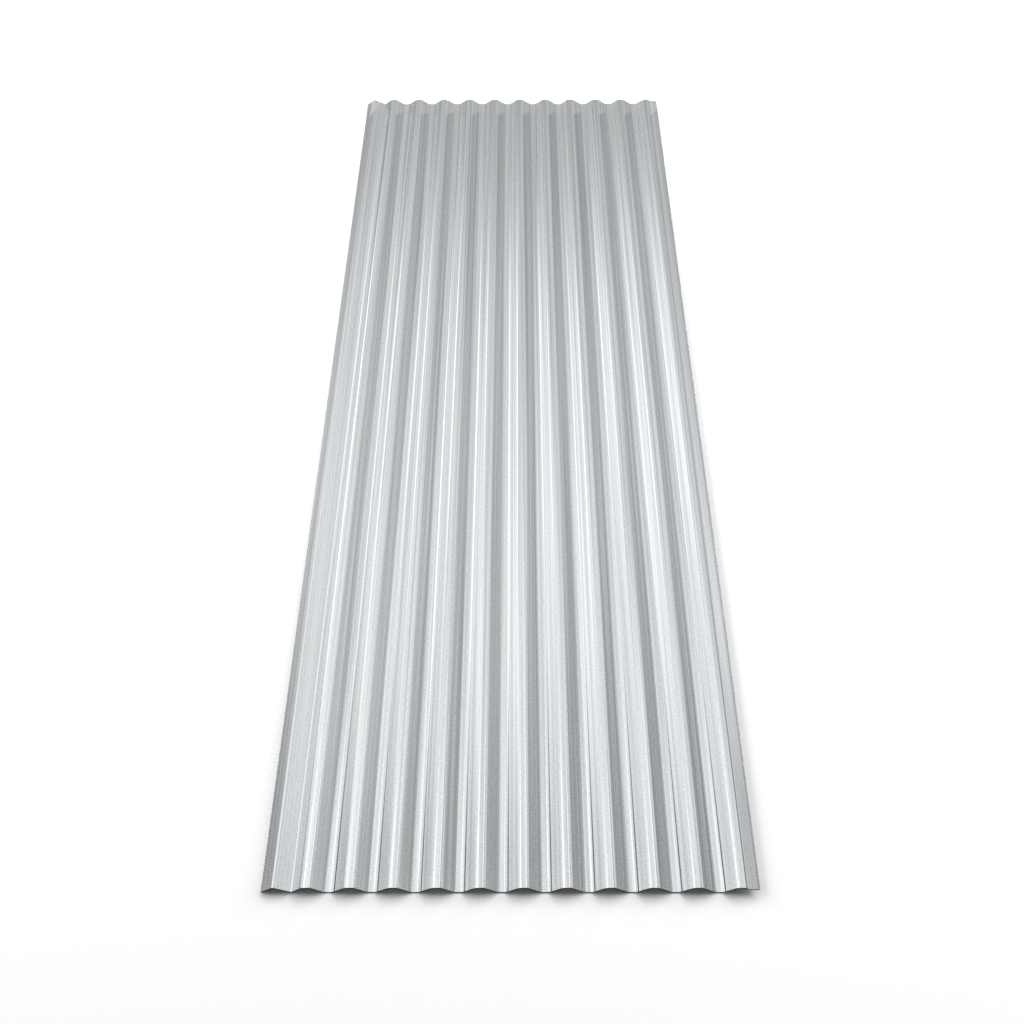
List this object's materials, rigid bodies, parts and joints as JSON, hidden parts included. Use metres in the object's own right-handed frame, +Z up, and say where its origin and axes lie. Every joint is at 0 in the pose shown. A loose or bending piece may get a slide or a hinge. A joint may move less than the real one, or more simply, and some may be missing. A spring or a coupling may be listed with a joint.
{
  "type": "corrugated metal sheet",
  "caption": "Flat-topped corrugated sheet of thin galvanised steel, with a folded lap ridge along one side and a stepped flat lip along the other.",
  "frame": {"origin": "middle of the underside: on the plane that the valleys rest on, halfway across the width and halfway along the length", "axes": "+X across the waves, from the lap ridge's side to the lip's; +Y along the waves; +Z up, out of the weather side"},
  "size_m": [0.8202, 2.44, 0.0155],
  "materials": {
    "galvanised_steel": "bright hot-dip galvanised, smooth, no visible spangle"
  },
  "bodies": {
    "root": {"corrugated_sheet": "galvanised_steel"}
  },
  "joints": []
}
